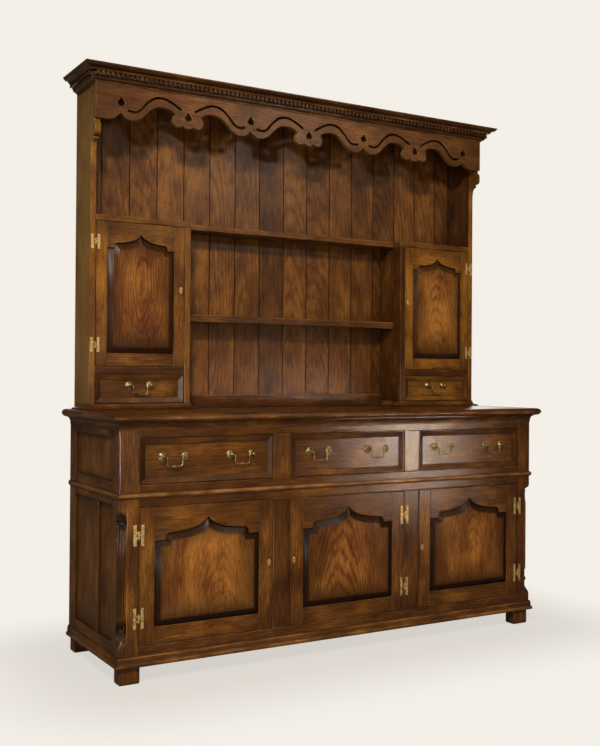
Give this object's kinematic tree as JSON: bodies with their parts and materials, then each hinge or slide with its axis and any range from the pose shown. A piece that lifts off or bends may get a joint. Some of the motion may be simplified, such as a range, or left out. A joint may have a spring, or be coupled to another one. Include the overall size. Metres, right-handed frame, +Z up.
{
  "type": "welsh dresser",
  "caption": "Oak dresser: plate rack with pierced frieze and small cupboards over a base with drawers above arched panel doors, all with brass fittings.",
  "frame": {"origin": "on the floor, under the middle of the dresser's bounding box", "axes": "+Z up, front towards -Y, +X to the viewer's right when facing the front"},
  "size_m": [1.796, 0.528, 2.03],
  "materials": {
    "oak": "waxed antique oak",
    "panel_oak": "waxed antique oak, lighter",
    "inner_oak": "plain dull oak",
    "brass": "aged satin brass"
  },
  "bodies": {
    "carcase": {"base_top": "oak", "front_frame": "oak", "left_end": "oak", "right_end": "oak", "base_back": "inner_oak", "bottom_board": "inner_oak", "drawer_deck": "inner_oak", "front_left_foot": "oak", "front_right_foot": "oak", "rear_left_foot": "oak", "rear_right_foot": "oak", "middle_moulding": "oak", "plinth_moulding": "oak", "cornice": "oak", "rack_top": "inner_oak", "frieze": "oak", "rack_left_side": "oak", "rack_right_side": "oak", "rack_back": "oak", "upper_shelf": "oak", "middle_shelf": "oak", "left_upright": "oak", "right_upright": "oak", "left_cupboard_floor": "oak", "right_cupboard_floor": "oak", "left_rack_base": "oak", "right_rack_base": "oak", "base_left_door_upper_hinge": "brass", "base_left_door_lower_hinge": "brass", "base_middle_door_upper_hinge": "brass", "base_middle_door_lower_hinge": "brass", "base_right_door_upper_hinge": "brass", "base_right_door_lower_hinge": "brass", "rack_left_door_upper_hinge": "brass", "rack_left_door_lower_hinge": "brass", "rack_right_door_upper_hinge": "brass", "rack_right_door_lower_hinge": "brass"},
    "base_left_door": {"base_left_door_frame": "oak", "base_left_door_panel": "panel_oak"},
    "base_middle_door": {"base_middle_door_frame": "oak", "base_middle_door_panel": "panel_oak"},
    "base_right_door": {"base_right_door_frame": "oak", "base_right_door_panel": "panel_oak"},
    "rack_left_door": {"rack_left_door_frame": "oak", "rack_left_door_panel": "panel_oak"},
    "rack_right_door": {"rack_right_door_frame": "oak", "rack_right_door_panel": "panel_oak"},
    "base_left_drawer": {"base_left_drawer": "oak"},
    "base_left_drawer_left_bail": {"base_left_drawer_left_bail": "brass"},
    "base_left_drawer_right_bail": {"base_left_drawer_right_bail": "brass"},
    "base_middle_drawer": {"base_middle_drawer": "oak"},
    "base_middle_drawer_left_bail": {"base_middle_drawer_left_bail": "brass"},
    "base_middle_drawer_right_bail": {"base_middle_drawer_right_bail": "brass"},
    "base_right_drawer": {"base_right_drawer": "oak"},
    "base_right_drawer_left_bail": {"base_right_drawer_left_bail": "brass"},
    "base_right_drawer_right_bail": {"base_right_drawer_right_bail": "brass"},
    "rack_left_drawer": {"rack_left_drawer": "oak"},
    "rack_left_drawer_bail": {"rack_left_drawer_bail": "brass"},
    "rack_right_drawer": {"rack_right_drawer": "oak"},
    "rack_right_drawer_bail": {"rack_right_drawer_bail": "brass"}
  },
  "joints": [
    {"name": "base_left_door_hinge", "type": "hinge", "parent": "carcase", "child": "base_left_door", "pos_m": [-0.795, -0.2358, 0], "axis": [0, 0, -1], "range_deg": [0, 160]},
    {"name": "base_middle_door_hinge", "type": "hinge", "parent": "carcase", "child": "base_middle_door", "pos_m": [0.243, -0.2358, 0], "axis": [0, 0, 1], "range_deg": [0, 160]},
    {"name": "base_right_door_hinge", "type": "hinge", "parent": "carcase", "child": "base_right_door", "pos_m": [0.795, -0.2358, 0], "axis": [0, 0, 1], "range_deg": [0, 160]},
    {"name": "rack_left_door_hinge", "type": "hinge", "parent": "carcase", "child": "rack_left_door", "pos_m": [-0.827, 0.1042, 0], "axis": [0, 0, -1], "range_deg": [0, 160]},
    {"name": "rack_right_door_hinge", "type": "hinge", "parent": "carcase", "child": "rack_right_door", "pos_m": [0.827, 0.1042, 0], "axis": [0, 0, 1], "range_deg": [0, 160]},
    {"name": "base_left_drawer_slide", "type": "slide", "parent": "carcase", "child": "base_left_drawer", "axis": [0, -1, 0], "range_m": [0, 0.34]},
    {"name": "base_left_drawer_left_bail_pivot", "type": "hinge", "parent": "base_left_drawer", "child": "base_left_drawer_left_bail", "pos_m": [-0.674, -0.235, 0.71603], "axis": [-1, 0, 0], "range_deg": [0, 100]},
    {"name": "base_left_drawer_right_bail_pivot", "type": "hinge", "parent": "base_left_drawer", "child": "base_left_drawer_right_bail", "pos_m": [-0.43, -0.235, 0.71603], "axis": [-1, 0, 0], "range_deg": [0, 100]},
    {"name": "base_middle_drawer_slide", "type": "slide", "parent": "carcase", "child": "base_middle_drawer", "axis": [0, -1, 0], "range_m": [0, 0.34]},
    {"name": "base_middle_drawer_left_bail_pivot", "type": "hinge", "parent": "base_middle_drawer", "child": "base_middle_drawer_left_bail", "pos_m": [-0.122, -0.235, 0.71603], "axis": [-1, 0, 0], "range_deg": [0, 100]},
    {"name": "base_middle_drawer_right_bail_pivot", "type": "hinge", "parent": "base_middle_drawer", "child": "base_middle_drawer_right_bail", "pos_m": [0.122, -0.235, 0.71603], "axis": [-1, 0, 0], "range_deg": [0, 100]},
    {"name": "base_right_drawer_slide", "type": "slide", "parent": "carcase", "child": "base_right_drawer", "axis": [0, -1, 0], "range_m": [0, 0.34]},
    {"name": "base_right_drawer_left_bail_pivot", "type": "hinge", "parent": "base_right_drawer", "child": "base_right_drawer_left_bail", "pos_m": [0.43, -0.235, 0.71603], "axis": [-1, 0, 0], "range_deg": [0, 100]},
    {"name": "base_right_drawer_right_bail_pivot", "type": "hinge", "parent": "base_right_drawer", "child": "base_right_drawer_right_bail", "pos_m": [0.674, -0.235, 0.71603], "axis": [-1, 0, 0], "range_deg": [0, 100]},
    {"name": "rack_left_drawer_slide", "type": "slide", "parent": "carcase", "child": "rack_left_drawer", "axis": [0, -1, 0], "range_m": [0, 0.09]},
    {"name": "rack_left_drawer_bail_pivot", "type": "hinge", "parent": "rack_left_drawer", "child": "rack_left_drawer_bail", "pos_m": [-0.659, 0.105, 0.94105], "axis": [-1, 0, 0], "range_deg": [0, 100]},
    {"name": "rack_right_drawer_slide", "type": "slide", "parent": "carcase", "child": "rack_right_drawer", "axis": [0, -1, 0], "range_m": [0, 0.09]},
    {"name": "rack_right_drawer_bail_pivot", "type": "hinge", "parent": "rack_right_drawer", "child": "rack_right_drawer_bail", "pos_m": [0.659, 0.105, 0.94105], "axis": [-1, 0, 0], "range_deg": [0, 100]}
  ]
}
